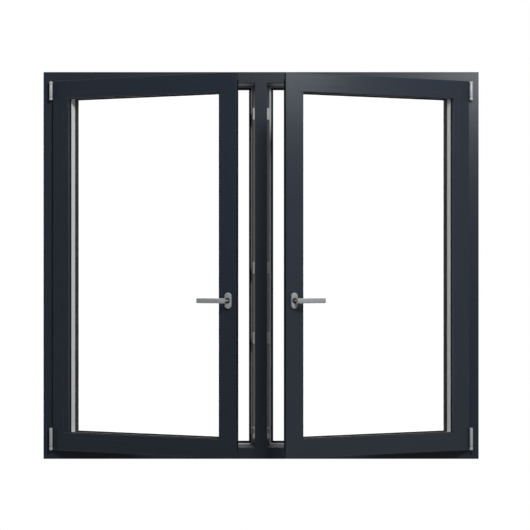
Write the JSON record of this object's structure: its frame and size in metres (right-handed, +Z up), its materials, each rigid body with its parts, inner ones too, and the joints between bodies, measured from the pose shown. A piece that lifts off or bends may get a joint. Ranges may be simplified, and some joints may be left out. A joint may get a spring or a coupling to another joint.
{
  "type": "aluminium casement window",
  "caption": "Dark grey aluminium window frame with a fixed mullion, inward-opening glazed sashes standing ajar, surface hinges, keeps and lever handles.",
  "frame": {"origin": "middle of the sill's underside, at mid width and mid depth of the frame", "axes": "+X to the right seen from the room, +Y from the room to the outside, +Z up"},
  "size_m": [1.8, 0.49, 1.6],
  "materials": {
    "coated_aluminium": "satin powder coat, anthracite grey",
    "window_glass": "clear float glass",
    "spacer_aluminium": "rolled mill finish",
    "seal_rubber": "matt extruded rubber",
    "hinge_metal": "satin silver",
    "keep_zinc": "zinc die cast, satin",
    "lock_steel": "zinc plated",
    "black_plastic": "moulded, satin",
    "grey_plastic": "extruded insulating strip, matt",
    "handle_aluminium": "silver anodised, satin"
  },
  "bodies": {
    "frame": {"frame_head": "coated_aluminium", "frame_sill": "coated_aluminium", "frame_left_jamb": "coated_aluminium", "frame_right_jamb": "coated_aluminium", "mullion": "coated_aluminium", "left_rebate_seal": "seal_rubber", "left_hinge_brackets": "hinge_metal", "left_keeps": "keep_zinc", "right_rebate_seal": "seal_rubber", "right_hinge_brackets": "hinge_metal", "right_keeps": "keep_zinc"},
    "left_sash": {"left_sash_top_rail": "coated_aluminium", "left_sash_bottom_rail": "coated_aluminium", "left_sash_hinge_stile": "coated_aluminium", "left_sash_lock_stile": "coated_aluminium", "left_glazing_beads": "coated_aluminium", "left_glass_panes": "window_glass", "left_glass_spacers": "spacer_aluminium", "left_glazing_seals": "seal_rubber", "left_overlap_seal": "seal_rubber", "left_hinge_leaves": "hinge_metal", "left_lock_gear": "lock_steel", "left_handle_rosette": "handle_aluminium"},
    "left_lever": {"left_handle_lever": "handle_aluminium"},
    "right_sash": {"right_sash_top_rail": "coated_aluminium", "right_sash_bottom_rail": "coated_aluminium", "right_sash_hinge_stile": "coated_aluminium", "right_sash_lock_stile": "coated_aluminium", "right_glazing_beads": "coated_aluminium", "right_glass_panes": "window_glass", "right_glass_spacers": "spacer_aluminium", "right_glazing_seals": "seal_rubber", "right_overlap_seal": "seal_rubber", "right_hinge_leaves": "hinge_metal", "right_lock_gear": "lock_steel", "right_handle_rosette": "handle_aluminium"},
    "right_lever": {"right_handle_lever": "handle_aluminium"}
  },
  "joints": [
    {"name": "left_sash_turn", "type": "hinge", "parent": "frame", "child": "left_sash", "pos_m": [-0.867, -0.0575, 0.8], "axis": [0, 0, -1], "range_deg": [-26, 64]},
    {"name": "left_handle_turn", "type": "hinge", "parent": "left_sash", "child": "left_lever", "pos_m": [-0.12845, -0.40993, 0.661], "axis": [0.4384, 0.8988, 0], "range_deg": [-90, 0]},
    {"name": "right_sash_turn", "type": "hinge", "parent": "frame", "child": "right_sash", "pos_m": [0.867, -0.0575, 0.8], "axis": [0, 0, 1], "range_deg": [-26, 64]},
    {"name": "right_handle_turn", "type": "hinge", "parent": "right_sash", "child": "right_lever", "pos_m": [0.12845, -0.40993, 0.661], "axis": [0.4384, -0.8988, 0], "range_deg": [-90, 0]}
  ]
}
